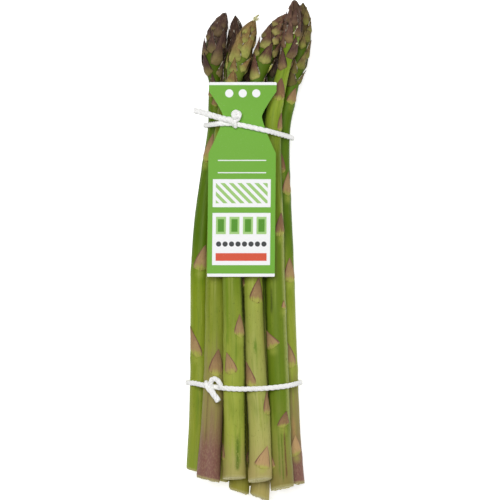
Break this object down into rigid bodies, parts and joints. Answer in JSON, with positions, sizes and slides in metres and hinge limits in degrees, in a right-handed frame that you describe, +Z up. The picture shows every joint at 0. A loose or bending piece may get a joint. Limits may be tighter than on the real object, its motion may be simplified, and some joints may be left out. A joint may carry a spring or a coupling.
{
  "type": "bundle of asparagus",
  "caption": "Bundle of fresh green asparagus spears lying flat, tied with white string near the cut ends and below the heads, with a waisted green card label under the upper tie.",
  "frame": {"origin": "on the table, under the middle of the lying bundle's box", "axes": "+Y along the spears from the cut ends to the tips, +Z up, the way the label faces, and +X to the right when the bundle is seen from above with its tips up"},
  "size_m": [0.0658, 0.2602, 0.0421],
  "materials": {
    "spear": "satin",
    "label": "satin",
    "string": "matte"
  },
  "bodies": {
    "root": {"spear_top_1": "spear", "spear_top_2": "spear", "spear_top_3": "spear", "spear_top_4": "spear", "spear_top_5": "spear", "spear_top_6": "spear", "spear_middle_1": "spear", "spear_middle_2": "spear", "spear_middle_3": "spear", "spear_bottom_1": "spear", "spear_bottom_2": "spear", "spear_bottom_3": "spear", "spear_bottom_4": "spear", "label_card": "label", "tie_upper": "string", "tie_lower": "string"}
  },
  "joints": []
}
